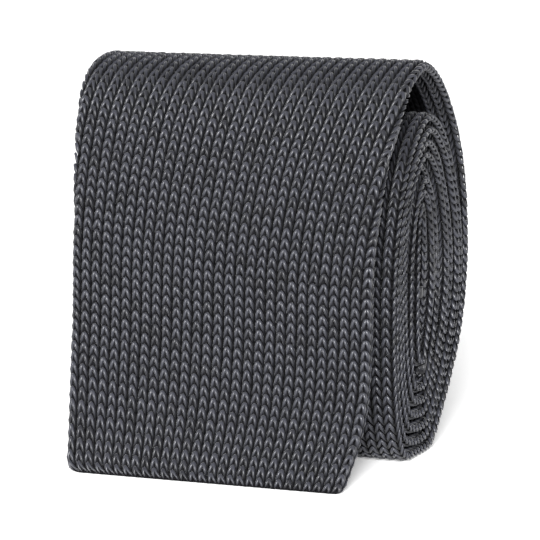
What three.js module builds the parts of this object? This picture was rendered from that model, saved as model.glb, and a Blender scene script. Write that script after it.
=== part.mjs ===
// Knitted necktie, rolled up and standing on its long side, with the wide end hanging down in front.
// Millimetres, +Z up, X along the width of the tie, -Y the front. The floor is Z = 0.
import * as THREE from 'three';

// ---- driving dimensions (mm) ----
const BLADE_HALF_WIDTH = 30;        // wide blade, 60 mm across
const END_HALF_WIDTH = 27.4;        // drawn in by the closing seam at the wide end
const NECK = [-22.2, 29.7];         // the neck is narrower, and lies flush with the blade on the right
const TAIL = [-24.2, 29.7];         // so does the narrow blade
const TAPE_EDGES = [-7, 15];        // stay tape, down the middle of the neck
const END_DRAW_IN = 24;             // length over which the wide end narrows
const TUBE = 1.80;                  // flattened knit tube, pressed in the roll
const TUBE_LOOSE = 3.0;             // the same tube where it hangs free
const PITCH = 2.4;                  // one turn of the roll to the next
const CUT = 0.32;                   // gap between neighbouring pieces
const LIFT = 0.5;                   // how far the sewn-on pieces stand off the back of the blade
const EDGE_RUN = 0.8;               // how far in from the edge the fold starts to round
const TURN_STEPS = 28;              // stations in one turn
const STRAIGHT_STEP = 3.6;          // longest step between stations of the outer turn
const NECK_SEAM_TURN = 2.5;         // turns from the underside to the blade and neck seam
const TAIL_SEAM_TURN = 5.9;         // turns to the neck and tail seam
const TAIL_END_TURN = 8.2;          // turns to the narrow end
const SEAM_TURN = 0.02;             // length of a joining seam, as a share of a turn
const NECK_WALL = 0.24;             // share of the tube that each knitted wall takes in the neck
const NECK_FOLD = 1.6;              // solid width of the fold at each edge of the neck
const TAPE = [0.45, 0.55];          // stay tape, as shares of the neck's thickness
const HINGES = [25, 51, 72];        // distances from the wide end at which the hanging flap bends
const ORIGIN = [-1.35, 23.47];      // the origin is under the middle of the bounding box, [x, y]

// Outer face of the tie from the wide end up the front, over the top, down the back, [y, z]. The tie
// turns over further back at its right edge than at its left, so each edge has its own line.
const OUTER_LINES = [
  [
    [-11, 0], [-8.2, 4.8], [-6, 10], [-4.2, 16], [-2.6, 26], [-1.8, 38], [-0.8, 47], [1.4, 57],
    [5.6, 66.8], [12.8, 73.6], [23, 76.2], [34.5, 73.4], [45.2, 66.2], [52.8, 56.8], [56.8, 45.5],
    [57.8, 33], [54.3, 21], [48, 11], [42.5, 3.4], [38, 0], [22, 0],
  ],
  [
    [-11, 0], [-7.6, 4.8], [-4.6, 10], [-2.6, 16], [-1.4, 26], [-0.8, 37], [1.2, 46.5], [5, 55.5],
    [10.6, 63.8], [18, 71.4], [27.4, 75.6], [36.5, 73], [45.4, 66.2], [52.6, 56.8], [56.4, 45.5],
    [57, 33], [53.8, 21.6], [48, 12.8], [42.4, 6.6], [37.4, 1.9], [33.5, 0], [22, 0],
  ],
];
// Outer face of the first inner turn, closed, from the underside up the front and down the back.
const INNER_LINES = [
  [
    [22, 0], [16, 1.3], [11.2, 7.3], [9, 17], [8.2, 28], [8.9, 39], [12, 50.5], [19.5, 61.2],
    [31.5, 67.6], [42.5, 62.4], [50.6, 52.6], [55.4, 41.6], [56.4, 31.8], [53.5, 21.2],
    [47.6, 11.3], [42, 3.8], [37.6, 0],
  ],
  [
    [22, 0], [17.6, 1.9], [14, 8.4], [12.2, 17.5], [11.4, 28], [12, 39], [15.2, 50.5], [22, 60.6],
    [32.6, 66.4], [42.6, 61.8], [50, 52.2], [54.6, 41.6], [55.4, 31.8], [52.2, 21.4], [46.6, 13.2],
    [41, 6.8], [36.2, 2.3], [32.8, 0],
  ],
];
const INNER_CENTRES = [[32.3, 34], [33.4, 33.2]];
const INNER_HALVES = [[24.1, 34], [22, 33.2]];
const TOP_SPREAD = [3.4, 0.7];      // how much wider the tie is at its left and right where it turns over
const TOP_RUN = 85;                 // distance from the wide end to the widest place
const TOP_REACH = 25;

// ---- colours ----
const YARN = { color: 0x4a4b51, roughness: 0.55, metalness: 0.0 };
const YARN_DARK = { color: 0x3b3c42, roughness: 0.6, metalness: 0.0 };
const TAPE_CLOTH = { color: 0x2b2c30, roughness: 0.8, metalness: 0.0 };
const LABEL_CLOTH = { color: 0x2a2b30, roughness: 0.45, metalness: 0.0 };
const THREAD = { color: 0x55565c, roughness: 0.5, metalness: 0.0 };

const group = new THREE.Group();
group.name = 'rolled_knit_tie';
group.position.set(-ORIGIN[0], -ORIGIN[1], 0);

const outerCurves = OUTER_LINES.map((line) => {
  const curve = new THREE.SplineCurve(line.map(([y, z]) => new THREE.Vector2(y, z)));
  curve.arcLengthDivisions = 600;
  curve.updateArcLengths();
  return curve;
});
const OUTER_LENGTH = (outerCurves[0].getLength() + outerCurves[1].getLength()) / 2;
const innerCurves = INNER_LINES.map((line) => {
  const curve = new THREE.CatmullRomCurve3(
    line.map(([y, z]) => new THREE.Vector3(0, y, z)), true, 'centripetal');
  curve.arcLengthDivisions = 600;
  return curve;
});

// Left and right point of the outer turn at distance s from the wide end, sunk by depth.
function outerPoints(s, depth) {
  const u = Math.min(1, Math.max(0, s / OUTER_LENGTH));
  return outerCurves.map((curve) => {
    const p = curve.getPointAt(u);
    const t = curve.getTangentAt(u);
    return [p.x + t.y * depth, Math.max(p.y - t.x * depth, 0)];
  });
}

// Left and right point of the inner spiral, `turn` turns from the underside, sunk by depth.
function innerPoints(turn, depth) {
  const sunk = PITCH * turn + depth;
  return innerCurves.map((curve, side) => {
    const p = curve.getPointAt(((turn % 1) + 1) % 1);
    return [p.y, p.z].map((v, i) => {
      const c = INNER_CENTRES[side][i];
      return c + (v - c) * (INNER_HALVES[side][i] - sunk) / INNER_HALVES[side][i];
    });
  });
}

// Left and right edge of the blade at distance s from the wide end.
function bladeEdges(s) {
  const k = Math.min(1, s / END_DRAW_IN);
  const half = END_HALF_WIDTH + (BLADE_HALF_WIDTH - END_HALF_WIDTH) * k * (2 - k);
  const spread = Math.exp(-(((s - TOP_RUN) / TOP_REACH) ** 2));
  return [-half - TOP_SPREAD[0] * spread, half + TOP_SPREAD[1] * spread];
}

// Thickness of the tube at distance s from the wide end.
function outerThickness(s) {
  const k = THREE.MathUtils.smoothstep(s, 70, 135);
  return TUBE_LOOSE + (TUBE - TUBE_LOOSE) * k;
}

// Sweeps a band through stations {o, i, x0, x1}: left and right point [y, z] of the outer and the
// inner face, and the X range.
// round: the edges are folds; hole: [near edge, low share, high share] of the channel inside.
function band(name, finish, stations, { round = 0, hole = null } = {}) {
  const r = round;
  const ring = ({ x0, x1 }) => r > 0
    ? [[x0 + r, 0], [x1 - r, 0], [x1, 0.33], [x1, 0.67], [x1 - r, 1], [x0 + r, 1], [x0, 0.67], [x0, 0.33]]
    : [[x0, 0], [x1, 0], [x1, 1], [x0, 1]];
  const channel = ({ x0, x1 }) => {
    const [e, lo, hi] = hole;
    return [[x0 + e, lo], [x0 + e, hi], [x1 - e, hi], [x1 - e, lo]];
  };
  const rings = hole ? [ring, channel] : [ring];
  const mix = (a, b, k) => a + (b - a) * k;
  const place = ({ o, i }, [x, d]) => {
    const k = (x + BLADE_HALF_WIDTH) / (2 * BLADE_HALF_WIDTH);
    return [x, ...[0, 1].map((n) => mix(mix(o[0][n], o[1][n], k), mix(i[0][n], i[1][n], k), d))];
  };
  const positions = [];
  const index = [];
  const starts = [];
  for (const st of stations) {
    const row = [];
    for (const shape of rings) {
      row.push(positions.length / 3);
      for (const v of shape(st)) positions.push(...place(st, v));
    }
    starts.push(row);
  }
  const counts = rings.map((shape) => shape(stations[0]).length);
  for (let k = 0; k + 1 < stations.length; k += 1) {
    counts.forEach((n, which) => {
      for (let j = 0; j < n; j += 1) {
        const a = starts[k][which] + j;
        const b = starts[k][which] + (j + 1) % n;
        const c = starts[k + 1][which] + j;
        const d = starts[k + 1][which] + (j + 1) % n;
        index.push(a, b, d, a, d, c);
      }
    });
  }
  for (const last of [false, true]) {
    const st = last ? stations[stations.length - 1] : stations[0];
    const at = last ? starts[stations.length - 1] : starts[0];
    const [outline, ...holes] = rings.map((shape) => shape(st).map(([x, d]) => new THREE.Vector2(x, d * 2)));
    const flat = rings.flatMap((_, which) => [...Array(counts[which]).keys()].map((j) => at[which] + j));
    for (const [a, b, c] of THREE.ShapeUtils.triangulateShape(outline, holes)) {
      index.push(...(last ? [flat[a], flat[b], flat[c]] : [flat[a], flat[c], flat[b]]));
    }
  }
  const p = (n) => new THREE.Vector3(...positions.slice(3 * n, 3 * n + 3));
  let volume = 0;
  for (let k = 0; k < index.length; k += 3) {
    volume += p(index[k]).dot(p(index[k + 1]).cross(p(index[k + 2])));
  }
  if (volume < 0) {
    for (let k = 0; k < index.length; k += 3) [index[k + 1], index[k + 2]] = [index[k + 2], index[k + 1]];
  }
  const geometry = new THREE.BufferGeometry();
  geometry.setAttribute('position', new THREE.Float32BufferAttribute(positions, 3));
  geometry.setIndex(index);
  geometry.computeVertexNormals();
  const mesh = new THREE.Mesh(geometry, new THREE.MeshStandardMaterial(finish));
  mesh.name = name;
  group.add(mesh);
  return mesh;
}

const spread = (from, to, step) => {
  const n = Math.max(1, Math.ceil((to - from) / step));
  return [...Array(n + 1).keys()].map((k) => from + (to - from) * k / n);
};

// Stations of the blade on the outer turn.
const onOuter = (from, to) => spread(from, to, STRAIGHT_STEP).map((s) => {
  const [x0, x1] = bladeEdges(s);
  return { o: outerPoints(s, 0), i: outerPoints(s, outerThickness(s)), x0, x1 };
});
// Stations on the inner spiral, at whole steps of a turn so that the turns nest.
const onInner = (from, to, [x0, x1], shares = [0, 1]) => {
  const turns = [from];
  for (let k = Math.floor(from * TURN_STEPS) + 1; k < to * TURN_STEPS - 0.1; k += 1) {
    if (k > from * TURN_STEPS + 0.1) turns.push(k / TURN_STEPS);
  }
  turns.push(to);
  return turns.map((t) => ({
    o: innerPoints(t, TUBE * shares[0]), i: innerPoints(t, TUBE * shares[1]), x0, x1,
  }));
};

// ---- the wide blade: the hanging flap in three stretches, then the rolled part ----
const flap = ['blade_tip', 'blade_front', 'blade_shoulder'];
flap.forEach((name, k) => {
  const from = k === 0 ? 0 : HINGES[k - 1] + CUT / 2;
  band(name, YARN, onOuter(from, HINGES[k] - CUT / 2), { round: EDGE_RUN });
});
band('blade_roll', YARN, [
  ...onOuter(HINGES[2] + CUT / 2, OUTER_LENGTH),
  ...onInner(1 / TURN_STEPS, NECK_SEAM_TURN, [-BLADE_HALF_WIDTH, BLADE_HALF_WIDTH]),
], { round: EDGE_RUN });

// ---- joining seam, hollow neck with its stay tape, second seam, narrow blade ----
const gapTurn = 0.0035;
const neckFrom = NECK_SEAM_TURN + gapTurn + SEAM_TURN + gapTurn;
const tailFrom = TAIL_SEAM_TURN + gapTurn + SEAM_TURN + gapTurn;
band('blade_neck_seam', YARN_DARK,
  onInner(NECK_SEAM_TURN + gapTurn, neckFrom - gapTurn, NECK), { round: EDGE_RUN });
band('neck_band', YARN, onInner(neckFrom, TAIL_SEAM_TURN, NECK),
  { round: EDGE_RUN, hole: [NECK_FOLD, NECK_WALL, 1 - NECK_WALL] });
const wholeStep = (turn, round) => round(turn * TURN_STEPS) / TURN_STEPS;
band('neck_stay_tape', TAPE_CLOTH, onInner(
  wholeStep(neckFrom, Math.ceil), wholeStep(TAIL_SEAM_TURN - 0.02, Math.floor), TAPE_EDGES, TAPE));
band('neck_tail_seam', YARN_DARK,
  onInner(TAIL_SEAM_TURN + gapTurn, tailFrom - gapTurn, NECK), { round: EDGE_RUN });
band('tail_blade', YARN, onInner(tailFrom, TAIL_END_TURN, TAIL), { round: EDGE_RUN });
band('tail_end_seam', YARN_DARK,
  onInner(TAIL_END_TURN + 0.008, TAIL_END_TURN + 0.03, TAIL), { round: EDGE_RUN });

// ---- pieces sewn on the back of the blade ----
// A patch on the back of the blade: from..to along it, lift off its back, own thickness.
function patch(name, finish, from, to, x0, x1, lift, thick) {
  const stations = spread(from, to, 3.2).map((s) => {
    const base = outerThickness(s) + lift;
    return { o: outerPoints(s, base), i: outerPoints(s, base + thick), x0, x1 };
  });
  return band(name, finish, stations);
}
patch('blade_end_seam', YARN_DARK, 4, 5.6, 1.5 - END_HALF_WIDTH, END_HALF_WIDTH - 1.5, CUT, 0.9);
patch('keeper_loop', YARN, 86, 97, -21, 21, LIFT, 0.9);
patch('keeper_tack_left', THREAD, 86.5, 96.5, -21 - CUT - 1.2, -21 - CUT, LIFT, 1.1);
patch('keeper_tack_right', THREAD, 86.5, 96.5, 21 + CUT, 21 + CUT + 1.2, LIFT, 1.1);
patch('label', LABEL_CLOTH, 100, 122, -17, 17, LIFT, 0.5);
patch('label_stitch_left', THREAD, 101, 121, -17 - CUT - 0.8, -17 - CUT, LIFT, 0.6);
patch('label_stitch_right', THREAD, 101, 121, 17 + CUT, 17 + CUT + 0.8, LIFT, 0.6);

export default group;
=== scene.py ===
"""Knitted necktie, rolled up and standing on its long edge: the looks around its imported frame.

Metres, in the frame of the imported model: +Z up, X across the tie, -Y the front. The tie is a tube of
stocking stitch pressed flat. Its wide end hangs down in front, and the rest goes up, over the top,
down the back and round into the roll. Sizes inside the classes are in millimetres.
"""

from __future__ import annotations

import logging
import math
from dataclasses import dataclass, field
from enum import Enum

import bpy
import numpy as np
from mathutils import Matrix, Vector


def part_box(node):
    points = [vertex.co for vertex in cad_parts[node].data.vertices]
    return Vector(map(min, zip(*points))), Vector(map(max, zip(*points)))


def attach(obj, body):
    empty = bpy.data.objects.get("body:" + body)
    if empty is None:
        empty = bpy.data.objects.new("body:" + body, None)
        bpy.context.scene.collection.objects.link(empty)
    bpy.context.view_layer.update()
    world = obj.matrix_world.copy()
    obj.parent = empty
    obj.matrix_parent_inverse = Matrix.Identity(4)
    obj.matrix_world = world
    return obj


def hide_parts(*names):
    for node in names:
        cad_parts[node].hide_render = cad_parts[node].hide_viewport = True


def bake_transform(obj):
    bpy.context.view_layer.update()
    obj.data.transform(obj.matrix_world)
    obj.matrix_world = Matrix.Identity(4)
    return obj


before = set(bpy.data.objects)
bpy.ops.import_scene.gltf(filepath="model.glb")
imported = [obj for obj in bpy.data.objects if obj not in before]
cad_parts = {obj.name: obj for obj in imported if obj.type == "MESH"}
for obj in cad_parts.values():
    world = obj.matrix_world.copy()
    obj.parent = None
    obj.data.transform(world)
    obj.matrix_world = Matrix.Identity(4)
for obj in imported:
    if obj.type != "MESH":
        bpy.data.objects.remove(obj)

LOG = logging.getLogger("necktie")
MM = 0.001
ORIGIN = (-1.35, 23.47)  # the frame's origin is under the middle of the tie's box


# ---------------------------------------------------------------- small helpers


def linear(colour: str) -> tuple[float, float, float, float]:
    """Turn an sRGB hex colour to the linear values that shaders take.

    Args:
        colour: six hex digits.

    Returns:
        Linear red, green and blue, and an alpha of 1.
    """
    parts = [int(colour[i : i + 2], 16) / 255 for i in (0, 2, 4)]
    red, green, blue = (c / 12.92 if c <= 0.04045 else ((c + 0.055) / 1.055) ** 2.4 for c in parts)
    return red, green, blue, 1.0


class Nodes:
    """Adds nodes to one shader or geometry tree, and joins them."""

    def __init__(self, tree) -> None:
        """Take the tree."""
        self.tree = tree

    def add(
        self, kind: str, settings: dict | None = None, values: dict | None = None, links: dict | None = None
    ):
        """Add a node with its settings, its constant inputs and its links.

        Args:
            kind: the node's type name.
            settings: attributes of the node.
            values: constants, by input name or number.
            links: output sockets to join, by input name or number.

        Returns:
            The new node.
        """
        made = self.tree.nodes.new(kind)
        for name, value in (settings or {}).items():
            setattr(made, name, value)
        for name, value in (values or {}).items():
            made.inputs[name].default_value = value
        for name, socket in (links or {}).items():
            self.tree.links.new(socket, made.inputs[name])
        return made

    def maths(self, operation: str, *given, kind: str = "ShaderNodeMath"):
        """Add a math node.

        Args:
            operation: what it works out.
            given: its inputs in order, output sockets or constants. SCALE takes a vector and a number.
            kind: the node's type name.

        Returns:
            Its output socket.
        """
        made = self.add(kind, {"operation": operation})
        inputs = (made.inputs[0], made.inputs["Scale"]) if operation == "SCALE" else made.inputs
        for socket, value in zip(inputs, given):
            if isinstance(value, bpy.types.NodeSocket):
                self.tree.links.new(value, socket)
            else:
                socket.default_value = value
        return made.outputs[0]

    def vectors(self, operation: str, *given):
        """Add a vector math node, and return its output socket."""
        return self.maths(operation, *given, kind="ShaderNodeVectorMath")

    def ramp(self, value, dark: str, light: str, start: float = 0.0):
        """Add a ramp from a dark to a light hex colour, from start to 1, and return its colour."""
        made = self.add("ShaderNodeValToRGB", links={0: value})
        low, high = made.color_ramp.elements
        low.position = start
        low.color, high.color = linear(dark), linear(light)
        return made.outputs[0]

    def surface(self, relief, strength: float, distance: float, values: dict, links: dict) -> None:
        """End a material with its shader.

        Args:
            relief: the socket with the height of its relief.
            strength: how strongly the relief shows.
            distance: the relief's height, in metres.
            values: the shader's constants.
            links: its other inputs.
        """
        bump = self.add(
            "ShaderNodeBump", None, {"Strength": strength, "Distance": distance}, {"Height": relief}
        )
        links = {**links, "Normal": bump.outputs[0]}
        shader = self.add("ShaderNodeBsdfPrincipled", values=values, links=links)
        self.add("ShaderNodeOutputMaterial", links={0: shader.outputs[0]})


def smooth(x: np.ndarray, low: float, high: float) -> np.ndarray:
    """Rise smoothly from 0 at low to 1 at high."""
    k = np.clip((x - low) / (high - low), 0, 1)
    return k * k * (3 - 2 * k)


def show(mesh: bpy.types.Mesh, name: str) -> bpy.types.Object:
    """Link a mesh to the scene as an object at the origin."""
    made = bpy.data.objects.new(name, mesh)
    bpy.context.scene.collection.objects.link(made)
    return made


def grid_mesh(name: str, points: np.ndarray, uv: np.ndarray, around: bool, ends: bool) -> bpy.types.Mesh:
    """Make a mesh of rows of points, each row joined to the next.

    Args:
        name: the mesh's name.
        points: rows by columns by 3, in metres.
        uv: rows by columns by 2. With around, it has one more column than points, for the seam.
        around: each row is a closed ring.
        ends: the first and the last ring are filled.

    Returns:
        The mesh, smooth shaded, with its UV map.
    """
    rows, columns = points.shape[:2]
    count = columns if around else columns - 1
    k, j = np.meshgrid(np.arange(rows - 1), np.arange(count), indexing="ij")
    k, j = k.ravel(), j.ravel()
    after = (j + 1) % columns
    here, beyond = k * columns, (k + 1) * columns
    faces = np.stack([here + j, here + after, beyond + after, beyond + j], 1)
    loops = np.stack([uv[k, j], uv[k, j + 1], uv[k + 1, j + 1], uv[k + 1, j]], 1).reshape(-1, 2)
    faces = [list(map(int, f)) for f in faces]
    if ends:
        half = columns // 2
        for row, turn in ((0, False), (rows - 1, True)):
            at = row * columns
            for m in range(half - 1):
                one, two = m % columns, (columns - 1 - m) % columns
                quad = [at + one, at + two, at + (columns - 2 - m) % columns, at + m + 1]
                quad = quad[::-1] if turn else quad
                quad = list(dict.fromkeys(quad))
                if len(quad) > 2:
                    faces.append(quad)
                    loops = np.vstack([loops, [uv[row, q - at] for q in quad]])
    mesh = bpy.data.meshes.new(name)
    mesh.from_pydata([tuple(p) for p in points.reshape(-1, 3)], [], faces)
    layer = mesh.uv_layers.new(name="UVMap")
    layer.data.foreach_set("uv", loops.astype(np.float32).ravel())
    mesh.polygons.foreach_set("use_smooth", np.ones(len(mesh.polygons), bool))
    mesh.update()
    return mesh


def face_out(mesh: bpy.types.Mesh) -> bpy.types.Mesh:
    """Turn a closed mesh's faces outwards if its volume comes out negative."""
    mesh.calc_loop_triangles()
    co = np.empty(len(mesh.vertices) * 3)
    mesh.vertices.foreach_get("co", co)
    tri = np.empty(len(mesh.loop_triangles) * 3, int)
    mesh.loop_triangles.foreach_get("vertices", tri)
    a, b, c = co.reshape(-1, 3)[tri.reshape(-1, 3)].transpose(1, 0, 2)
    if np.einsum("ij,ij->", a, np.cross(b, c)) < 0:
        mesh.flip_normals()
    return mesh


# ---------------------------------------------------------------- the tie's line


def cubic(p1: np.ndarray, p2: np.ndarray, v1: np.ndarray, v2: np.ndarray, w: np.ndarray) -> np.ndarray:
    """Points from p1 to p2 at shares w, with the speeds v1 and v2 at the two ends."""
    return (2 * p1 - 2 * p2 + v1 + v2) * w**3 + (-3 * p1 + 3 * p2 - 2 * v1 - v2) * w**2 + v1 * w + p1


def open_spline(points: np.ndarray, count: int) -> np.ndarray:
    """Sample a uniform Catmull-Rom curve through points, with its ends held."""
    last = len(points) - 1
    t = np.linspace(0, last, count)
    i = np.minimum(t.astype(int), last - 1)
    p0, p1 = points[np.maximum(i - 1, 0)], points[i]
    p2, p3 = points[i + 1], points[np.minimum(i + 2, last)]
    return cubic(p1, p2, (p2 - p0) / 2, (p3 - p1) / 2, (t - i)[:, None])


def closed_spline(points: np.ndarray, count: int) -> np.ndarray:
    """Sample a centripetal Catmull-Rom curve round closed points."""
    n = len(points)
    t = np.linspace(0, n, count)
    i = np.minimum(t.astype(int), n - 1)
    p0, p1, p2, p3 = (points[(i + k) % n] for k in (-1, 0, 1, 2))
    pairs = ((p0, p1), (p1, p2), (p2, p3))
    d0, d1, d2 = (np.linalg.norm(b - a, axis=1, keepdims=True) ** 0.5 for a, b in pairs)
    v1 = ((p1 - p0) / d0 - (p2 - p0) / (d0 + d1) + (p2 - p1) / d1) * d1
    v2 = ((p2 - p1) / d1 - (p3 - p1) / (d1 + d2) + (p3 - p2) / d2) * d1
    return cubic(p1, p2, v1, v2, (t - i)[:, None])


def by_length(line: np.ndarray, at: np.ndarray) -> np.ndarray:
    """Points of a polyline at shares of its length."""
    run = np.concatenate([[0], np.cumsum(np.linalg.norm(np.diff(line, axis=0), axis=1))])
    return np.stack([np.interp(at * run[-1], run, line[:, k]) for k in range(2)], 1)


@dataclass
class TieLine:
    """The outer face of the tie from its wide end up the front and round into the roll, as the CAD has it.

    It has one line for the left edge and one for the right, where the tie turns over further back.
    """

    outer: tuple = (
        (
            (-11, 0), (-8.2, 4.8), (-6, 10), (-4.2, 16), (-2.6, 26), (-1.8, 38), (-0.8, 47), (1.4, 57),
            (5.6, 66.8), (12.8, 73.6), (23, 76.2), (34.5, 73.4), (45.2, 66.2), (52.8, 56.8), (56.8, 45.5),
            (57.8, 33), (54.3, 21), (48, 11), (42.5, 3.4), (38, 0), (22, 0),
        ),
        (
            (-11, 0), (-7.6, 4.8), (-4.6, 10), (-2.6, 16), (-1.4, 26), (-0.8, 37), (1.2, 46.5), (5, 55.5),
            (10.6, 63.8), (18, 71.4), (27.4, 75.6), (36.5, 73), (45.4, 66.2), (52.6, 56.8), (56.4, 45.5),
            (57, 33), (53.8, 21.6), (48, 12.8), (42.4, 6.6), (37.4, 1.9), (33.5, 0), (22, 0),
        ),
    )  # fmt: skip
    inner: tuple = (
        (
            (22, 0), (16, 1.3), (11.2, 7.3), (9, 17), (8.2, 28), (8.9, 39), (12, 50.5), (19.5, 61.2),
            (31.5, 67.6), (42.5, 62.4), (50.6, 52.6), (55.4, 41.6), (56.4, 31.8), (53.5, 21.2), (47.6, 11.3),
            (42, 3.8), (37.6, 0),
        ),
        (
            (22, 0), (17.6, 1.9), (14, 8.4), (12.2, 17.5), (11.4, 28), (12, 39), (15.2, 50.5), (22, 60.6),
            (32.6, 66.4), (42.6, 61.8), (50, 52.2), (54.6, 41.6), (55.4, 31.8), (52.2, 21.4), (46.6, 13.2),
            (41, 6.8), (36.2, 2.3), (32.8, 0),
        ),
    )  # fmt: skip
    centres: tuple = ((32.3, 34.0), (33.4, 33.2))
    halves: tuple = ((24.1, 34.0), (22.0, 33.2))
    pitch: float = 2.4  # from one turn of the roll to the next
    tube: float = 1.8  # the tube's thickness inside the roll
    tube_loose: float = 3.0  # and where it hangs
    thins: tuple[float, float] = (70.0, 135.0)  # the run over which it goes from one to the other
    first_turn: float = 0.006
    last_turn: float = 8.2
    turn_step: float = 0.0018
    run_step: float = 0.25
    samples: int = 6001
    neck_turn: float = 2.5
    tail_turn: float = 5.9
    half_width: float = 30.0

    def __post_init__(self) -> None:
        """Trace both lines once, with the vector through the cloth at each point."""
        turns = np.arange(self.first_turn, self.last_turn, self.turn_step)
        splines = [open_spline(np.array(line, float), self.samples) for line in self.outer]
        lengths = [np.linalg.norm(np.diff(line, axis=0), axis=1).sum() for line in splines]
        self.outer_length = float(np.mean(lengths))
        share = np.linspace(0, 1, int(self.outer_length / self.run_step))
        pressed = smooth(share * self.outer_length, *self.thins)
        thick = self.tube_loose + (self.tube - self.tube_loose) * pressed
        self.faces, self.throughs = [], []
        for side, spline in enumerate(splines):
            face = by_length(spline, share)
            ahead = np.gradient(face, axis=0)
            ahead /= np.linalg.norm(ahead, axis=1, keepdims=True)
            back = face + np.stack([ahead[:, 1], -ahead[:, 0]], 1) * thick[:, None]
            back[:, 1] = np.maximum(back[:, 1], 0)
            ring = by_length(closed_spline(np.array(self.inner[side], float), self.samples), turns % 1)
            centre, half = np.array(self.centres[side]), np.array(self.halves[side])
            rolled, rolled_back = (
                centre + (ring - centre) * (half - self.pitch * turns[:, None] - depth) / half
                for depth in (0.0, self.tube)
            )
            self.faces.append(np.vstack([face, rolled]))
            self.throughs.append(np.vstack([back, rolled_back]) - self.faces[-1])
        middle = (self.faces[0] + self.faces[1]) / 2
        steps = np.linalg.norm(np.diff(middle, axis=0), axis=1)
        steps[: len(share) - 1] = self.outer_length / (len(share) - 1)
        self.run = np.concatenate([[0], np.cumsum(steps)])
        self.turns = np.concatenate([np.zeros(len(share)), turns])
        self.rolled_from = len(share)

    def at_turn(self, turn: float) -> float:
        """Distance from the wide end to a turn of the roll, counted from the underside."""
        return float(np.interp(turn, self.turns[self.rolled_from :], self.run[self.rolled_from :]))

    def turn_at(self, run: np.ndarray) -> np.ndarray:
        """Turn of the roll at a distance from the wide end, 0 on the outer turn."""
        return np.interp(run, self.run, self.turns)

    def across(self, run: np.ndarray, x: np.ndarray | float = 0.0) -> tuple[np.ndarray, np.ndarray]:
        """Outer face and the vector through the cloth.

        Args:
            run: distances from the wide end.
            x: places across the tie.

        Returns:
            Points and vectors, each with Y and Z.
        """
        run = np.clip(run, 0, self.run[-1])
        share = np.asarray((x + self.half_width) / (2 * self.half_width))[..., None]
        found = []
        for left, right in (self.faces, self.throughs):
            a, b = (
                np.stack([np.interp(run, self.run, line[:, k]) for k in range(2)], -1)
                for line in (left, right)
            )
            found.append(a + (b - a) * share)
        return found[0], found[1]


# ---------------------------------------------------------------- surfaces that stitches follow


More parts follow.
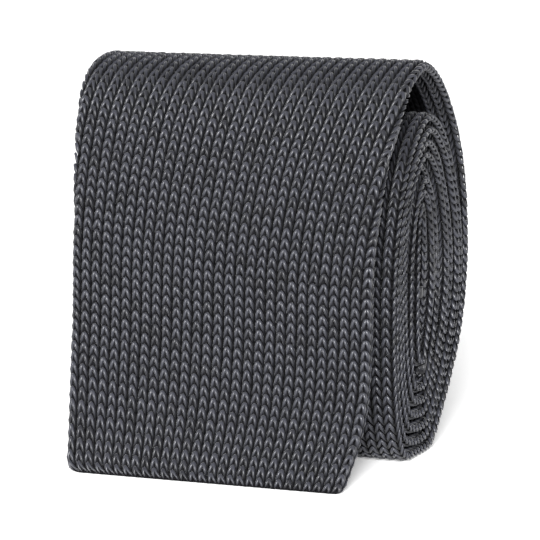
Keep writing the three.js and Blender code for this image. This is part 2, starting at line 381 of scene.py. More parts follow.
@dataclass
class KnitTube:
    """The flattened tube of the tie: a place on its knitted wall for each wale and course.

    Wale 0 starts at the left fold, wales 0 to 29 go across the front and 29 to 58 back across the rear.
    Courses count from the wide end.
    """

    line: TieLine
    wales: int = 58
    course: float = 1.93
    first_run: float = 0.35
    blade: float = 30.0
    end: float = 27.4  # half the width at the wide end, which is drawn in
    draw_in: float = 24.0
    neck: tuple[float, float] = (-22.2, 29.7)
    tail: tuple[float, float] = (-24.2, 29.7)
    narrowing: float = 6.0  # half the run over which the width changes
    bow: float = 3.0  # the rows of stitches sag by this towards the left edge
    bow_from: float = 0.86
    bow_width: float = 0.84
    bow_grows: tuple[float, float] = (0.0, 20.0)
    bow_fades: tuple[float, float] = (90.0, 130.0)
    spread: tuple[float, float] = (3.4, 0.7)  # how far each edge stands out on the shoulder
    spread_run: float = 85.0
    spread_reach: float = 25.0
    drift: float = 2.6  # the wales lean over the shoulder by this many
    drift_runs: tuple[float, float] = (35.0, 100.0)
    corners: tuple[float, float] = (3.4, 1.2)
    corner_start: float = 0.3
    pinch: float = 0.42  # the tube's mouth is pressed together to this share
    pinch_run: float = 3.2
    fold_lift: float = 0.75  # loops stand less high round a fold
    sways: tuple = ((0.35, 5.1, 0.0, 0.1, 1.5), (1.1, 3.7, 1.0, 0.3, 7.5))
    # The turns' edges lie unevenly: size, radians for each turn, phase, and the turns over which it grows.
    core: tuple[float, float] = (0.3, 7.5)  # the turns over which the right edge sinks in by a millimetre

    def __post_init__(self) -> None:
        """Find where the blade ends and the neck and the tail start."""
        self.neck_run = self.line.at_turn(self.line.neck_turn)
        self.tail_run = self.line.at_turn(self.line.tail_turn)
        self.length = float(self.line.run[-1])

    def edges(self, run: np.ndarray) -> tuple[np.ndarray, np.ndarray]:
        """Left and right edge of the tie.

        Args:
            run: distances from the wide end.

        Returns:
            X of the left and of the right edge.
        """
        k = np.minimum(1, run / self.draw_in)
        half = self.end + (self.blade - self.end) * k * (2 - k)
        to_neck, to_tail = (
            smooth(run, middle - self.narrowing, middle + self.narrowing)
            for middle in (self.neck_run, self.tail_run)
        )
        left = -half + (self.neck[0] + self.blade) * to_neck + (self.tail[0] - self.neck[0]) * to_tail
        right = half + (self.neck[1] - self.blade) * to_neck + (self.tail[1] - self.neck[1]) * to_tail
        over = np.exp(-(((run - self.spread_run) / self.spread_reach) ** 2))
        left, right = left - self.spread[0] * over, right + self.spread[1] * over
        turn = self.line.turn_at(run)
        sway = sum(
            size * np.sin(turn * rate + phase) * smooth(turn, low, high)
            for size, rate, phase, low, high in self.sways
        )
        round_left, round_right = (
            r * (1 - np.sqrt(1 - np.clip(1 - (run + self.corner_start) / r, 0, 1) ** 2)) for r in self.corners
        )
        sunk = smooth(turn, *self.core)
        # The left edge sways by half as much, and the right edge never stands out far at the visible end.
        return left - sway * 0.5 + round_left, right + np.minimum(sway, 0.25) - sunk - round_right

    def drifted(self, run: np.ndarray) -> np.ndarray:
        """How many wales the knit has drifted to the left at a distance from the wide end."""
        return self.drift * smooth(run, *self.drift_runs)

    def at(self, wale: np.ndarray, course: np.ndarray, height: float | np.ndarray = 0.0):
        """Points of the knitted wall.

        Args:
            wale: wale count, from the left fold round the tube.
            course: course count, from the wide end.
            height: how far above the middle of the wall, in millimetres.

        Returns:
            Points in metres, and the outward vector that a stitch's height is measured along, in metres.
        """
        run = self.first_run + course * self.course
        wale = np.mod(wale + self.drifted(run), self.wales)
        rear = wale > self.wales / 2
        share = np.where(rear, self.wales - wale, wale) / (self.wales / 2)
        bowed = self.bow * np.clip((self.bow_from - share) / self.bow_width, 0, 1) ** 2
        bowed = bowed * smooth(run, *self.bow_grows) * (1 - smooth(run, *self.bow_fades))
        run = np.clip(run + bowed, 0, self.length)
        left, right = self.edges(run)
        face, through = self.line.across(run, left + (right - left) * share)
        thick = np.linalg.norm(through, axis=-1)
        inward = through / thick[..., None]
        closing = self.pinch + (1 - self.pinch) * smooth(run, 0, self.pinch_run)
        radius = thick / 4
        straight = np.maximum((right - left) / 2 - thick / 4 - radius, 1)
        round_it = np.pi * radius / 2
        p = share * (2 * straight + 2 * round_it)
        from_left, from_right = p / radius, (2 * straight + 2 * round_it - p) / radius
        turned = np.where(p < round_it, from_left, np.where(from_right < np.pi / 2, from_right, np.pi / 2))
        side = np.where(p < straight + round_it, -1.0, 1.0)
        on_fold = turned < np.pi / 2
        x = np.where(on_fold, side * (straight + radius * np.cos(turned)), p - round_it - straight)
        normal_x = np.where(on_fold, side * np.cos(turned), 0)
        normal_out = np.where(on_fold, np.sin(turned), 1.0) * np.where(rear, -1, 1)
        deep = thick / 2 - normal_out * radius * closing
        x = x + normal_x * height + (left + right) / 2
        deep = deep - normal_out * height * closing
        y, z = (face[..., k] + inward[..., k] * deep for k in range(2))
        point = np.stack([x - ORIGIN[0], y - ORIGIN[1], z], -1)
        normal = np.stack([normal_x, -inward[..., 0] * normal_out, -inward[..., 1] * normal_out], -1)
        return point * MM, normal * (radius * np.where(on_fold, self.fold_lift, 1))[..., None] * MM

    def course_at(self, run: float) -> int:
        """Whole course at a distance from the wide end."""
        return int(round((run - self.first_run) / self.course))


@dataclass
class Strip:
    """A flat strip that follows the tie's line at a depth under its outer face."""

    line: TieLine
    start: float
    stop: float
    left: float
    right: float
    shallow: float
    deep: float
    columns: int = 1
    rows: int = 1

    def at(self, column: np.ndarray, row: np.ndarray, height: float | np.ndarray = 0.0):
        """Points on the strip's underside, the side away from the tie's outer face.

        Args:
            column: count across, from the left.
            row: count along, from the start.
            height: distance off the strip, in millimetres.

        Returns:
            Points in metres and the outward vector, one millimetre long.
        """
        run = self.start + (self.stop - self.start) * row / self.rows
        x = self.left + (self.right - self.left) * column / self.columns
        face, through = self.line.across(run, x)
        inward = through / np.linalg.norm(through, axis=-1, keepdims=True)
        y, z = (face[..., k] + inward[..., k] * (self.deep + height) for k in range(2))
        point = np.stack([x - ORIGIN[0], y - ORIGIN[1], z], -1)
        normal = np.stack([np.zeros_like(x), inward[..., 0], inward[..., 1]], -1)
        return point * MM, normal * MM

    def solid(self, name: str, material: bpy.types.Material, soften: float, step: float = 1.2):
        """Build the strip as a closed band with rounded edges.

        Args:
            name: the object's name.
            material: its finish.
            soften: radius of its long edges, in millimetres.
            step: length of one row of faces.

        Returns:
            The object.
        """
        thick = self.deep - self.shallow
        r = min(soften, thick / 2 - 0.01)
        turn = np.linspace(0, np.pi / 2, 4)
        corner_x, corner_d = r * (1 - np.sin(turn)), r * (1 - np.cos(turn))
        wide = np.linspace(self.left + r, self.right - r, 12)[1:-1]
        x = np.concatenate([self.left + corner_x[::-1], wide, self.right - corner_x])
        d = np.concatenate([corner_d[::-1], np.zeros(len(wide)), corner_d]) + self.shallow
        x = np.concatenate([x, x[::-1]])
        d = np.concatenate([d, self.shallow + self.deep - d[::-1]])
        run = np.linspace(self.start, self.stop, max(3, int((self.stop - self.start) / step) + 1))
        run_grid, x_grid = np.meshgrid(run, x, indexing="ij")
        face, through = self.line.across(run_grid, x_grid)
        inward = through / np.linalg.norm(through, axis=-1, keepdims=True)
        y, z = (face[..., k] + inward[..., k] * d for k in range(2))
        points = np.stack([x_grid - ORIGIN[0], y - ORIGIN[1], z], -1) * MM
        uv = np.stack([x_grid, run_grid], -1)
        uv = np.concatenate([uv, uv[:, :1]], 1)
        made = show(face_out(grid_mesh(name, points, uv, around=True, ends=True)), name)
        made.data.materials.append(material)
        return made


# ---------------------------------------------------------------- repeated units, laid by geometry nodes


@dataclass(frozen=True)
class LoopShape:
    """One knitted loop of yarn, in wales across and courses along: an arch whose legs spread to the wide end.

    path is half of its centre line, from the top of the arch to the border with the next wale. Each point has
    its place across, along and up, and the yarn's half width there.
    """

    steps: int = 12
    sides: int = 5
    path: tuple = (
        (0.0, 0.5, 0.36, 0.14), (0.105, 0.42, 0.48, 0.145), (0.18, 0.17, 0.44, 0.15),
        (0.25, -0.1, 0.14, 0.15), (0.32, -0.38, -0.28, 0.14), (0.4, -0.6, -0.68, 0.12),
        (0.5, -0.68, -0.9, 0.1),
    )  # fmt: skip
    proud: float = 0.5

    def mesh(self, name: str) -> bpy.types.Mesh:
        """Build the loop as a closed tube with a UV map that runs along and round the yarn.

        Args:
            name: the mesh's name.

        Returns:
            The mesh.
        """
        half = np.array(self.path)
        line = open_spline(np.vstack([half[:0:-1] * [-1, 1, 1, 1], half]), self.steps + 1)
        middle, wide = line[:, :3], line[:, 3]
        ahead = np.gradient(middle, axis=0)
        ahead /= np.linalg.norm(ahead, axis=1, keepdims=True)
        side = np.cross([0.0, 0.0, 1.0], ahead)
        side /= np.linalg.norm(side, axis=1, keepdims=True)
        up = np.cross(ahead, side)
        angle = np.linspace(0, 2 * np.pi, self.sides, endpoint=False) + np.pi / 2
        out = side[:, None] * (wide[:, None] * np.cos(angle))[..., None]
        high = self.proud * (wide / wide.max()) ** 0.5
        out = out + up[:, None] * (high[:, None] * np.sin(angle))[..., None]
        rings = middle[:, None] + out
        along = np.linspace(0, 1, self.steps + 1)
        uv = np.stack(np.meshgrid(along, np.linspace(0, 1, self.sides + 1), indexing="ij"), -1)
        mesh = grid_mesh(name, rings, uv, around=True, ends=False)
        made = [list(p.vertices) for p in mesh.polygons]
        last = self.steps * self.sides
        made += [list(range(self.sides)), list(range(last, last + self.sides))[::-1]]
        loops = np.empty(len(mesh.loops) * 2)
        mesh.uv_layers[0].data.foreach_get("uv", loops)
        full = bpy.data.meshes.new(name)
        full.from_pydata([tuple(v.co) for v in mesh.vertices], [], made)
        layer = full.uv_layers.new(name="UVMap")
        layer.data.foreach_set("uv", np.concatenate([loops, np.zeros(4 * self.sides)]).astype(np.float32))
        full.polygons.foreach_set("use_smooth", np.ones(len(full.polygons), bool))
        bpy.data.meshes.remove(mesh)
        return face_out(full)


@dataclass(frozen=True)
class BarShape:
    """One straight stitch of thread with rounded ends, that dips into the cloth at both."""

    steps: int = 8
    sides: int = 6
    length: float = 0.9
    width: float = 0.3
    proud: float = 0.5
    along_row: bool = True

    def mesh(self, name: str) -> bpy.types.Mesh:
        """Build the stitch.

        Args:
            name: the mesh's name.

        Returns:
            The mesh.
        """
        share = np.linspace(0, 1, self.steps + 1)
        x = (share - 0.5) * self.length
        rise = self.proud * (np.sin(np.pi * share) ** 0.5 - 0.6)
        fat = np.maximum(np.sin(np.pi * np.clip(share, 0.02, 0.98)) ** 0.4, 0.2)
        angle = np.linspace(0, 2 * np.pi, self.sides, endpoint=False)
        y = fat[:, None] * self.width / 2 * np.cos(angle)
        z = rise[:, None] + fat[:, None] * self.proud * 0.6 * np.sin(angle)
        x = np.broadcast_to(x[:, None], y.shape)
        rings = np.stack([x, y, z] if self.along_row else [y, x, z], -1)
        uv = np.stack(np.meshgrid(share, np.linspace(0, 1, self.sides + 1), indexing="ij"), -1)
        return face_out(grid_mesh(name, rings, uv, around=True, ends=True))


class Unit(Enum):
    """The units that are repeated over a surface."""

    LOOP = LoopShape()
    PLAIN_LOOP = LoopShape(steps=10, sides=4)
    ACROSS = BarShape(along_row=True)
    ALONG = BarShape(along_row=False)


@dataclass
class StitchLayer:
    """Lays a grid of units over a surface with one node tree, and turns each grid to a plain mesh."""

    wander: float = 0.09
    units: dict = field(default_factory=dict)

    def __post_init__(self) -> None:
        """Build the tree."""
        self.tree = self._tree()

    def _unit(self, unit: Unit) -> bpy.types.Object:
        """The object that holds a unit's mesh, made once."""
        if unit not in self.units:
            self.units[unit] = show(unit.value.mesh(f"unit_{unit.name.lower()}"), f"unit_{unit.name.lower()}")
        return self.units[unit]

    def _tree(self) -> bpy.types.NodeTree:
        """Build the node tree.

        Returns:
            The tree. Its modifier's own mesh is the surface that the units follow.
        """
        tree = bpy.data.node_groups.new("Stitches over a surface", "GeometryNodeTree")
        face = tree.interface
        face.new_socket("Geometry", in_out="OUTPUT", socket_type="NodeSocketGeometry")
        for name, kind in (
            ("Geometry", "Geometry"), ("Unit", "Object"), ("First Column", "Float"), ("First Row", "Float"),
            ("Columns", "Int"), ("Rows", "Int"), ("Map Scale", "Vector"), ("Map Start", "Vector"),
            ("Wander", "Float"), ("Seed", "Int"), ("Yarn", "Material"),
        ):  # fmt: skip
            face.new_socket(name, in_out="INPUT", socket_type=f"NodeSocket{kind}")
        nodes = Nodes(tree)
        given = nodes.add("NodeGroupInput").outputs
        bent = self._bent(nodes, given, self._varied(nodes, given, self._grid(nodes, given)))
        dressed = nodes.add("GeometryNodeSetMaterial", links={"Geometry": bent, "Material": given["Yarn"]})
        nodes.add("NodeGroupOutput", links={0: dressed.outputs[0]})
        return tree

    @staticmethod
    def _grid(nodes: Nodes, given):
        """Put one unit in the middle of each cell of a flat grid."""
        index = nodes.add("GeometryNodeInputIndex").outputs[0]
        column = nodes.maths("MODULO", index, given["Columns"])
        row = nodes.maths("FLOOR", nodes.maths("DIVIDE", index, given["Columns"]))
        x = nodes.maths("ADD", column, given["First Column"])
        y = nodes.maths("ADD", row, given["First Row"])
        corner = nodes.add("ShaderNodeCombineXYZ", links={0: x, 1: y}).outputs[0]
        place = nodes.vectors("ADD", corner, (0.5, 0.5, 0.0))
        total = nodes.maths("MULTIPLY", given["Columns"], given["Rows"])
        points = nodes.add("GeometryNodePoints", links={"Count": total, "Position": place}).outputs[0]
        unit = nodes.add("GeometryNodeObjectInfo", None, {"As Instance": True}, {"Object": given["Unit"]})
        links = {"Points": points, "Instance": unit.outputs["Geometry"]}
        return nodes.add("GeometryNodeInstanceOnPoints", links=links).outputs[0]

    @staticmethod
    def _varied(nodes: Nodes, given, laid):
        """Lean each unit a little, change its size and give it a tone, then make the units real."""
        lean, size = (
            nodes.add(
                "FunctionNodeRandomValue", {"data_type": "FLOAT_VECTOR"}, {"Min": low, "Max": high},
                {"Seed": given["Seed"]},
            ).outputs[0]
            for low, high in (
                ((-0.05, -0.04, -0.06), (0.05, 0.04, 0.06)), ((0.95, 0.97, 0.93), (1.05, 1.03, 1.04)),
            )
        )  # fmt: skip
        leant = nodes.add("GeometryNodeRotateInstances", links={"Instances": laid, "Rotation": lean})
        sized = nodes.add("GeometryNodeScaleInstances", links={"Instances": leant.outputs[0], "Scale": size})
        tone = nodes.add("FunctionNodeRandomValue", {"data_type": "FLOAT"}, links={"Seed": given["Seed"]})
        toned = nodes.add(
            "GeometryNodeStoreNamedAttribute", {"data_type": "FLOAT", "domain": "INSTANCE"},
            {"Name": "tone"}, {"Geometry": sized.outputs[0], "Value": tone.outputs[1]},
        )  # fmt: skip
        return nodes.add("GeometryNodeRealizeInstances", links={"Geometry": toned.outputs[0]}).outputs[0]

    @staticmethod
    def _bent(nodes: Nodes, given, real):
        """Carry the flat grid over to the surface, with its height along the lift and a slow wander."""
        flat = nodes.add("GeometryNodeInputPosition").outputs[0]
        drift = nodes.add(
            "ShaderNodeTexNoise", {"noise_dimensions": "3D"}, {"Scale": 0.35, "Detail": 1.0}, {"Vector": flat}
        )
        centred = nodes.vectors("SUBTRACT", drift.outputs["Color"], (0.5, 0.5, 0.5))
        moved = nodes.vectors("SCALE", centred, given["Wander"])
        split = nodes.vectors("ADD", flat, moved)
        apart = nodes.vectors("SUBTRACT", split, given["Map Start"])
        where = nodes.vectors("MULTIPLY", apart, given["Map Scale"])
        height = nodes.add("ShaderNodeSeparateXYZ", links={0: flat}).outputs["Z"]
        chart, lift = (
            nodes.add("GeometryNodeInputNamedAttribute", {"data_type": "FLOAT_VECTOR"}, {"Name": name})
            for name in ("UVMap", "lift")
        )
        on, off = (
            nodes.add(
                "GeometryNodeSampleUVSurface", {"data_type": "FLOAT_VECTOR"},
                links={
                    "Mesh": given["Geometry"], "Value": value, "UV Map": chart.outputs[0], "Sample UV": where,
                },
            ).outputs[0]
            for value in (flat, lift.outputs[0])
        )  # fmt: skip
        raised = nodes.vectors("SCALE", off, height)
        final = nodes.vectors("ADD", on, raised)
        return nodes.add("GeometryNodeSetPosition", links={"Geometry": real, "Position": final}).outputs[0]

    def lay(
        self, name: str, surface, columns: tuple[int, int], rows: tuple[int, int], unit: Unit, yarn,
        fine: int = 4,
    ) -> bpy.types.Object:
        """Lay units over part of a surface.

        Args:
            name: the new object's name.
            surface: has at(column, row), as KnitTube and Strip do.
            columns: first column, and the one after the last.
            rows: first row, and the one after the last.
            unit: the unit that is repeated.
            yarn: the material.
            fine: how many times each column and row is cut in the surface that is followed.

        Returns:
            The object, its shape plain mesh.
        """
        margin = 1  # the surface goes on by one unit, for yarn that hangs over
        u, v = (
            np.linspace(first - margin, last + margin, (last - first + 2 * margin) * fine + 1)
            for first, last in (columns, rows)
        )
        row, column = np.meshgrid(v, u, indexing="ij")
        points, normals = surface.at(column, row)
        uv = np.stack([(column - u[0]) / (u[-1] - u[0]), (row - v[0]) / (v[-1] - v[0])], -1)
        bed = grid_mesh(name, points, uv, around=False, ends=False)
        lift = bed.attributes.new("lift", "FLOAT_VECTOR", "POINT")
        lift.data.foreach_set("vector", normals.astype(np.float32).ravel())
        made = show(bed, name)
        modifier = made.modifiers.new("Stitches", "NODES")
        modifier.node_group = self.tree
        # The seed differs from piece to piece, so that no two have the same unevenness.
        values = {
            "Unit": self._unit(unit), "First Column": float(columns[0]), "First Row": float(rows[0]),
            "Columns": columns[1] - columns[0], "Rows": rows[1] - rows[0],
            "Map Start": (float(u[0]), float(v[0]), 0.0),
            "Map Scale": (1 / (u[-1] - u[0]), 1 / (v[-1] - v[0]), 0.0),
            "Wander": self.wander, "Seed": 7 + rows[0] * 61 + columns[0], "Yarn": yarn,
        }  # fmt: skip
        for item in self.tree.interface.items_tree:
            if item.in_out == "INPUT" and item.name in values:
                modifier[item.identifier] = values[item.name]
        bpy.context.view_layer.update()
        graph = bpy.context.evaluated_depsgraph_get()
        mesh = bpy.data.meshes.new_from_object(made.evaluated_get(graph), depsgraph=graph)
        made.modifiers.clear()
        made.data = mesh
        mesh.name = name
        bpy.data.meshes.remove(bed)
        mesh.materials.clear()
        mesh.materials.append(yarn)
        mesh.polygons.foreach_set("material_index", np.zeros(len(mesh.polygons), int))
        LOG.info("%s: %d faces", name, len(mesh.polygons))
        return made

    def clear(self) -> None:
        """Remove the units once everything is laid."""
        for unit in self.units.values():
            bpy.data.objects.remove(unit)
        self.units = {}


# ---------------------------------------------------------------- finishes


def new_material(name: str) -> tuple[bpy.types.Material, Nodes]:
    """Make a material with an empty node tree."""
    made = bpy.data.materials.new(name)
    made.use_nodes = True
    made.node_tree.nodes.clear()
    return made, Nodes(made.node_tree)


@dataclass(frozen=True)
class SatinYarn:
    """Soft multifilament yarn of polyester or silk: satiny legs of loops with fine twisted filaments.

    The eye gets charcoal with small soft glints on the middle of each loop; towards both ends of a loop,
    where it dips in, its colour and gloss are darkened as painted shade.
    """

    name: str = "satin_multifilament_yarn"
    dark: str = "17171a"
    light: str = "34353c"
    roughness: float = 0.35
    sheen: float = 0.1
    filaments: float = 9.0
    bump: float = 0.35
    # shade and dips set the painted shade at a loop's ends: what it leaves of the colour and gloss, and how
    # far from the middle it starts and ends.
    shade: float = 0.05
    dips: tuple[float, float] = (0.1, 0.36)  # how far from a loop's middle it starts and ends getting dark

    def material(self) -> bpy.types.Material:
        """Build the material. The filaments run along the yarn with a slight twist.

        Both ends of a loop get painted shade, a darker colour and less gloss, where it dips into the knit and
        little light comes.

        Returns:
            The material. Real filaments are about 0.02 mm thick, so they are drawn some four times as coarse.
        """
        made, nodes = new_material(self.name)
        uv = nodes.add("ShaderNodeUVMap", {"uv_map": "UVMap"}).outputs[0]
        twist = nodes.add(
            "ShaderNodeMapping", values={"Rotation": (0, 0, 0.12), "Scale": (1.2, self.filaments, 1)},
            links={"Vector": uv},
        )  # fmt: skip
        strands = nodes.add(
            "ShaderNodeTexNoise", {"noise_dimensions": "2D"}, {"Scale": 2.0, "Detail": 3.0, "Roughness": 0.6},
            {"Vector": twist.outputs[0]},
        ).outputs[0]  # fmt: skip
        place = nodes.add("ShaderNodeTexCoord").outputs["Object"]
        # Faint clouds some 20 mm wide, from uneven dye and wear.
        cloud = nodes.add("ShaderNodeTexNoise", None, {"Scale": 45.0, "Detail": 2.0}, {"Vector": place})
        tone = nodes.add("ShaderNodeAttribute", {"attribute_name": "tone"}).outputs["Fac"]
        mixed = nodes.maths("MULTIPLY_ADD", strands, 0.5, tone)
        colour = nodes.ramp(
            nodes.maths("MULTIPLY_ADD", cloud.outputs[0], 0.8, mixed), self.dark, self.light, start=0.45
        )
        along = nodes.add("ShaderNodeSeparateXYZ", links={0: uv}).outputs["X"]
        away = nodes.maths("ABSOLUTE", nodes.maths("SUBTRACT", along, 0.5))
        # Painted shade: colour and gloss fall off towards both ends of each loop.
        painted_shade = nodes.add(
            "ShaderNodeMapRange", {"interpolation_type": "SMOOTHSTEP"},
            {"From Min": self.dips[0], "From Max": self.dips[1], "To Min": 1.0, "To Max": self.shade},
            {"Value": away},
        ).outputs["Result"]  # fmt: skip
        nodes.surface(
            strands, self.bump, 0.00006,
            {"Roughness": self.roughness, "Sheen Weight": self.sheen, "Sheen Roughness": 0.4, "IOR": 1.5},
            {
                "Base Color": nodes.vectors("SCALE", colour, painted_shade),
                "Specular IOR Level": nodes.maths("MULTIPLY", painted_shade, 0.55),
            },
        )  # fmt: skip
        return made


@dataclass(frozen=True)
class InnerKnit:
    """The knit seen deep between the loops: the same yarn, painted near black as painted shade and darker
    still in its grooves, dull, with its courses faintly ribbed.

    The eye gets a near black ground that sets the loops apart.
    """

    name: str = "shaded_inner_knit"
    dark: str = "060607"
    light: str = "141417"
    roughness: float = 0.8

    def material(self) -> bpy.types.Material:
        """Build the material from the cloth's own map, one unit for each wale and course.

        Returns:
            The material.
        """
        made, nodes = new_material(self.name)
        uv = nodes.add("ShaderNodeUVMap", {"uv_map": "UVMap"}).outputs[0]
        part = nodes.add("ShaderNodeSeparateXYZ", links={0: uv}).outputs
        away = nodes.maths("ABSOLUTE", nodes.maths("SUBTRACT", nodes.maths("FRACT", part["X"]), 0.5))
        slant = nodes.maths("MULTIPLY_ADD", away, 0.9, part["Y"])
        course = nodes.maths("SINE", nodes.maths("MULTIPLY", slant, 2 * math.pi))
        groove = nodes.maths("SINE", nodes.maths("MULTIPLY", away, 2 * math.pi))
        high = nodes.maths("MULTIPLY_ADD", course, 0.5, groove)
        # Painted shade: near black, darker in the grooves of the relief, with little gloss.
        nodes.surface(
            high, 0.9, 0.0003, {"Roughness": self.roughness, "Specular IOR Level": 0.1},
            {"Base Color": nodes.ramp(high, self.dark, self.light)},
        )  # fmt: skip
        return made


@dataclass(frozen=True)
class WovenRibbon:
    """Narrow woven cloth: a fine over and under of threads, as on a label or a stay tape.

    The eye gets a small even grain, flatter and smoother than the knit round it.
    """

    name: str
    dark: str
    light: str
    thread: float = 0.35
    roughness: float = 0.5

    def material(self) -> bpy.types.Material:
        """Build the material from a map in millimetres.

        Returns:
            The material. Its threads are drawn at their own spacing.
        """
        made, nodes = new_material(self.name)
        uv = nodes.add("ShaderNodeUVMap", {"uv_map": "UVMap"}).outputs[0]
        weft, warp = (
            nodes.add(
                "ShaderNodeTexWave", {"bands_direction": direction},
                {"Scale": 1 / self.thread / 20, "Distortion": 0.4}, {"Vector": uv},
            ).outputs["Fac"]
            for direction in ("X", "Y")
        )  # fmt: skip
        woven = nodes.maths("MULTIPLY", weft, warp)
        nodes.surface(
            woven, 0.6, 0.0001, {"Roughness": self.roughness, "Sheen Weight": 0.2},
            {"Base Color": nodes.ramp(woven, self.dark, self.light)},
        )  # fmt: skip
        return made


@dataclass(frozen=True)
class Finishes:
    """The tie's materials."""

    yarn: bpy.types.Material
    seam: bpy.types.Material
    # inner is near black painted shade, for what is seen deep between the loops and inside the tube's mouth.
    inner: bpy.types.Material
    tape: bpy.types.Material
    label: bpy.types.Material
    thread: bpy.types.Material

    @classmethod
    def make(cls) -> Finishes:
        """Build every material once."""
        return cls(
            yarn=SatinYarn().material(),
            seam=SatinYarn("dull_seam_yarn", roughness=0.5, shade=1.0).material(),
            inner=InnerKnit().material(),
            tape=WovenRibbon("woven_cotton_tape", "1e1f22", "34353a", thread=0.6, roughness=0.8).material(),
            label=WovenRibbon("woven_satin_label", "222328", "3f4047", thread=0.3, roughness=0.38).material(),
            # The thread gets the yarn's painted shade towards each stitch's ends.
            thread=SatinYarn(
                "spun_sewing_thread", "505158", "6c6d75", roughness=0.5, filaments=5.0
            ).material(),
        )


# ---------------------------------------------------------------- the tie's own pieces


@dataclass(frozen=True)
class Bend:
    """A place where the hanging flap bends between two bodies."""

    lower: str
    upper: str
    run: float
    reach: float = 7.0


@dataclass
class KnittedLength:
    """One stretch of the knitted tube: its base cloth, and the loops that stand on it."""

    name: str
    tube: KnitTube
    first: int
    last: int
    body: str
    slot: str = "yarn"
    bend: Bend | None = None
    replaces: str = ""
    fine_cloth: int = 2  # rows of faces for each course
    sink: float = -0.2  # the base cloth lies this far under the middle of the wall
    fill: float = 0.43  # and is this much plumper inside the roll, which has loops only along its folds
    fill_courses: tuple[float, float] = (156.0, 172.0)

    def settle(self, piece: bpy.types.Object) -> bpy.types.Object:
        """Join a piece to its body; a piece at a bend is joined to none, its place baked into its mesh."""
        if self.bend is None:
            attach(piece, self.body)
        else:
            run = np.array([self.bend.run - self.bend.reach, self.bend.run + self.bend.reach])
            face, through = self.tube.line.across(run)
            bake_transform(piece)
        return piece

    def cloth(self, material: bpy.types.Material, pieces: list) -> bpy.types.Object:
        """Args:
            material: its finish.
            pieces: the loops on it; not used.

        Returns:
            The object.
        """
        around, half = self.tube.wales, self.tube.wales / 2
        # The columns lie close together round the two folds, and far apart between them.
        columns = np.concatenate([
            np.linspace(0, 1, 7), np.linspace(4, 25, 8), np.linspace(28, 29, 7),
            np.linspace(29, 30, 7)[1:], np.linspace(33, 54, 8), np.linspace(57, 58, 7)[:-1],
        ])  # fmt: skip
        rows = np.linspace(self.first, self.last, (self.last - self.first) * self.fine_cloth + 1)
        row, column = np.meshgrid(rows, columns, indexing="ij")
        from_fold = half / 2 - np.abs(np.mod(column, half) - half / 2)
        column = column - self.tube.drifted(self.tube.first_run + row * self.tube.course)
        plump = self.fill * smooth(from_fold, 2, 5) * smooth(row, *self.fill_courses)
        points, _ = self.tube.at(column, row, self.sink + plump)
        uv = np.stack([column, row], -1)
        uv = np.concatenate([uv, uv[:, :1] + [around, 0]], 1)
        made = show(face_out(grid_mesh(self.name, points, uv, around=True, ends=True)), self.name)
        made.data.materials.append(material)
        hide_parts(self.replaces)
        run = np.array([self.first, self.last]) * self.tube.course
        left, right = self.tube.edges(np.array([run.mean()]))
        return self.settle(made)


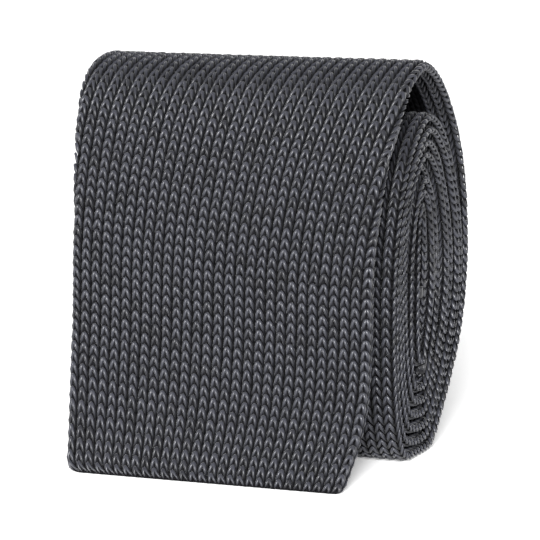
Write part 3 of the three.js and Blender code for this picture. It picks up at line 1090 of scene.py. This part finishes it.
@dataclass
class Necktie:
    """The whole tie."""

    line: TieLine = field(default_factory=TieLine)
    hinges: tuple[float, float, float] = (25.0, 51.0, 72.0)
    body_ends: tuple[float, float, float] = (38.0, 61.5, 86.0)
    joins: tuple = (("blade_neck_seam", 2.5135), ("neck_tail_seam", 5.9135), ("tail_end_seam", 8.18))
    # Each joining seam or closed end lies at a turn of the roll.
    seam_half: float = 1.1  # half a seam's length along the tie
    seam_stitch: float = 1.6
    seam_insets: tuple[float, float] = (0.6, 1.2)  # from the tube's left and right edge
    seam_depths: tuple[float, float] = (0.12, 1.68)
    tape_turns: tuple[float, float] = (2.58, 5.85)
    full_courses: int = 46  # of full loops past the outer turn; further in, only the folds can be seen
    first_piece: int = 88  # the outer turn is laid in two pieces, the second from this course

    def __post_init__(self) -> None:
        """Set up the tube, the finishes and the stitch layer."""
        self.tube = KnitTube(self.line)
        self.finishes = Finishes.make()
        self.layer = StitchLayer()

    def stretches(self) -> list[KnittedLength]:
        """The stretches of knitted tube, from the wide end to the narrow end."""
        runs = (*self.body_ends, self.tube.neck_run, self.tube.tail_run, self.tube.length - 2)
        ends = [0, *map(self.tube.course_at, runs)]
        low, middle, high = self.hinges
        rows = (
            ("blade_tip_cloth", "blade_tip", "tip", Bend("tip", "front", low), 2),
            ("blade_front_cloth", "blade_front", "front", Bend("front", "shoulder", middle), 2),
            ("blade_shoulder_cloth", "blade_shoulder", "shoulder", Bend("shoulder", "roll", high), 2),
            ("blade_roll_cloth", "blade_roll", "roll", None, 2),
            ("neck_cloth", "neck_band", "roll", None, 3),
            ("tail_cloth", "tail_blade", "roll", None, 3),
        )
        return [
            KnittedLength(name, self.tube, first, last, body, bend=bend, replaces=node, fine_cloth=fine)
            for (name, node, body, bend, fine), first, last in zip(rows, ends, ends[1:])
        ]

    def knit(self) -> None:
        """Lay the loops on each stretch and put its base cloth under them."""
        yarn = self.finishes.yarn
        outer = self.tube.course_at(self.line.outer_length)
        second = outer + self.full_courses
        for part in self.stretches():
            pieces = []
            cuts = [part.first, part.last]
            if part.name == "blade_roll_cloth":
                cuts[1:1] = [self.first_piece, outer, second]
            for first, last in zip(cuts, cuts[1:]):
                stem = f"{part.name.removesuffix('_cloth')}_{first}"
                if part.body != "roll":
                    spans = [("front", (-4, 30), Unit.LOOP), ("rear", (30, 54), Unit.LOOP)]
                elif part.name == "blade_roll_cloth" and first < second:
                    spans = [("outside", (-5, 29), Unit.LOOP)]
                else:
                    spans = [("right_fold", (24, 28), Unit.LOOP), ("left_fold", (-5, -1), Unit.PLAIN_LOOP)]
                for where, wales, unit in spans:
                    name = f"{stem}_{where}_loops"
                    loops = self.layer.lay(name, self.tube, wales, (first, last), unit, yarn, fine=8)
                    pieces.append(part.settle(loops))
            # The base cloth gets the inner finish: near black painted shade between the loops.
            part.cloth(self.finishes.inner, pieces)
            LOG.info("%s: courses %d to %d", part.name, part.first, part.last)

    def stitch(self, name: str, strip: Strip, unit: Unit, yarn, body: str, node: str = "") -> None:
        """Lay stitches all over a strip.

        Args:
            name: the new object's name.
            strip: what they are laid on.
            unit: one stitch.
            yarn: the material.
            body: the body they ride.
            node: the node they stand for, if any.
        """
        bars = self.layer.lay(name, strip, (0, strip.columns), (0, strip.rows), unit, yarn)
        if node:
            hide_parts(node)
        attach(bars, body)

    def seams(self) -> None:
        """Sew the joining seams and the closed ends, as bands with stitches over them."""
        yarn, seam = self.finishes.yarn, self.finishes.seam
        for name, turn in self.joins:
            low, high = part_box(name)
            run = self.line.at_turn(turn)
            columns = int((high.x - low.x) / MM / self.seam_stitch)
            left = low.x / MM + ORIGIN[0] + self.seam_insets[0]
            right = high.x / MM + ORIGIN[0] - self.seam_insets[1]
            start, stop = run - self.seam_half, run + self.seam_half
            strip = Strip(self.line, start, stop, left, right, *self.seam_depths, columns, 1)
            band = strip.solid(name + "_band", seam, soften=0.5, step=0.4)
            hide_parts(name)
            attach(band, "roll")
            self.stitch(name + "_overlock", strip, Unit.ALONG, yarn, "roll")
            LOG.info("%s sewn", name)
        # A fill of painted shade, near black, just inside the tube's mouth, and the hem turned in behind it.
        rim = Strip(self.line, 0.15, 1.0, -24.6, 26.3, 0.75, 2.25)
        closed = rim.solid("blade_end_rim", self.finishes.inner, soften=0.4, step=0.3)
        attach(closed, "tip")
        hem = Strip(self.line, 3.7, 6.1, -25.9, 25.9, 2.85, 3.5, 32, 1)
        band = hem.solid("blade_end_hem", seam, soften=0.3, step=0.5)
        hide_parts("blade_end_seam")
        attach(band, "tip")
        self.stitch("blade_end_overlock", hem, Unit.ALONG, yarn, "tip")

    def sewn_on(self) -> None:
        """Put the keeper loop and the blank label on the back of the blade, and the stay tape in the neck."""
        line, looks = self.line, self.finishes
        depth = 2.95  # just past the back of the blade
        keeper = Strip(line, 86, 97, -21, 21, depth, depth + 0.6, 22, 6)
        # Under the keeper's loops, a band in the inner finish: near black painted shade between them.
        band = keeper.solid("keeper_band", looks.inner, soften=0.28)
        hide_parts("keeper_loop")
        loops = self.layer.lay("keeper_loops", keeper, (0, 22), (0, 6), Unit.PLAIN_LOOP, looks.yarn)
        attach(loops, "roll")
        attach(band, "roll")
        for side, edges in (("left", (-22.5, -21.1)), ("right", (21.1, 22.5))):
            tack = Strip(line, 86.5, 96.5, *edges, depth, depth + 0.5, 1, 9)
            name = f"keeper_tack_{side}"
            # The core takes the thread's finish; its map runs in millimetres, so the painted shade of a
            # stitch's ends darkens it all over.
            core = tack.solid(name + "_core", looks.thread, soften=0.2)
            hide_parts(name)
            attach(core, "roll")
            self.stitch(name + "_thread", tack, Unit.ACROSS, looks.thread, "roll")
        depth = 2.6  # the cloth is thinner there
        label = Strip(line, 100, 122, -17, 17, depth, depth + 0.4)
        cloth = label.solid("label_cloth", looks.label, soften=0.15)
        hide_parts("label")
        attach(cloth, "roll")
        for side, edges in (("left", (-17.9, -17.1)), ("right", (17.1, 17.9))):
            sewing = Strip(line, 101, 121, *edges, depth - 0.1, depth + 0.1, 1, 10)
            name = f"label_stitch_{side}"
            self.stitch(name + "_thread", sewing, Unit.ALONG, looks.thread, "roll", node=name)
        low, high = map(line.at_turn, self.tape_turns)
        tape = Strip(line, low, high, -7, 15, 0.8, 1.0).solid("stay_tape_cloth", looks.tape, soften=0.1)
        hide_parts("neck_stay_tape")
        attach(tape, "roll")
        LOG.info("keeper, label and stay tape in place")

    def build(self) -> None:
        """Build every piece and clear away the units."""
        self.knit()
        self.seams()
        self.sewn_on()
        self.layer.clear()


# ---------------------------------------------------------------- studio


@dataclass(frozen=True)
class Studio:
    """A plain white floor, a white wall all round that grows dimmer overhead, soft lamps, and the camera."""

    azimuth: float = 21.56
    elevation: float = 8.04
    lens: float = 190.0
    place: tuple[float, float, float] = (0.20045, -0.50257, 0.1112)
    around: float = 1.02  # brightness of the wall at the horizon
    overhead: float = 0.26
    dims: tuple[float, float] = (0.14, 0.4)  # the rise over which it goes from one to the other

    def camera(self) -> None:
        """Place the camera."""
        data = bpy.data.cameras.new("camera")
        data.lens = self.lens
        data.sensor_width = 36
        data.clip_start = 0.01
        data.clip_end = 20
        made = bpy.data.objects.new("camera", data)
        a, e = math.radians(self.azimuth), math.radians(self.elevation)
        ahead = Vector((-math.sin(a) * math.cos(e), math.cos(a) * math.cos(e), -math.sin(e)))
        made.location = self.place
        made.rotation_euler = ahead.to_track_quat("-Z", "Y").to_euler()
        bpy.context.scene.collection.objects.link(made)
        bpy.context.scene.camera = made

    def lamp(self, name: str, place: tuple[float, float, float], spread: float, strength: float) -> None:
        """Hang one distant soft lamp that faces the tie.

        Args:
            name: its name.
            place: where it shines from.
            spread: how wide it looks, in degrees.
            strength: its strength, in watts per square metre.
        """
        data = bpy.data.lights.new(name, "SUN")
        data.energy = strength
        data.angle = math.radians(spread)
        made = bpy.data.objects.new(name, data)
        made.location = place
        made.rotation_euler = (-Vector(place)).to_track_quat("-Z", "Y").to_euler()
        bpy.context.scene.collection.objects.link(made)

    def floor(self) -> None:
        """Lay the floor: matt white paper on a light table, so it shows white with a faint soft shadow."""
        mesh = bpy.data.meshes.new("floor")
        reach = 6.0  # metres, so that its edge is never near the tie
        corners = [(x * reach, y * reach, 0) for x, y in ((-1, -1), (1, -1), (1, 1), (-1, 1))]
        mesh.from_pydata(corners, [], [(0, 1, 2, 3)])
        made = show(mesh, "floor")
        paper = bpy.data.materials.new("matt_white_paper")
        paper.use_nodes = True
        shader = paper.node_tree.nodes["Principled BSDF"].inputs
        shader["Base Color"].default_value = linear("fafafa")
        shader["Roughness"].default_value = 0.9
        shader["Emission Color"].default_value = linear("ffffff")
        shader["Emission Strength"].default_value = 0.3
        mesh.materials.append(paper)

    def build(self) -> None:
        """Set the stage."""
        scene = bpy.context.scene
        scene.view_settings.view_transform = "Standard"
        world = bpy.data.worlds.new("studio")
        scene.world = world
        world.use_nodes = True
        world.node_tree.nodes.clear()
        nodes = Nodes(world.node_tree)
        way = nodes.add("ShaderNodeTexCoord").outputs["Generated"]
        rise = nodes.add("ShaderNodeSeparateXYZ", links={0: way})
        light = nodes.add(
            "ShaderNodeMapRange", {"interpolation_type": "SMOOTHSTEP"},
            {
                "From Min": self.dims[0], "From Max": self.dims[1], "To Min": self.around,
                "To Max": self.overhead,
            },
            {"Value": rise.outputs["Z"]},
        ).outputs["Result"]  # fmt: skip
        wall = nodes.add(
            "ShaderNodeBackground", values={"Color": linear("ffffff")}, links={"Strength": light}
        )
        nodes.add("ShaderNodeOutputWorld", links={"Surface": wall.outputs[0]})
        self.floor()
        self.lamp("key", (0.3, -1.0, 0.42), 16, 6.4)
        self.lamp("fill", (-0.8, -1.0, 0.6), 40, 0.5)
        self.camera()


def main() -> None:
    """Build the tie and its studio."""
    logging.basicConfig(level=logging.INFO, format="%(message)s")
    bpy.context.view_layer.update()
    Studio().build()
    Necktie().build()


if __name__ == "__main__":
    main()
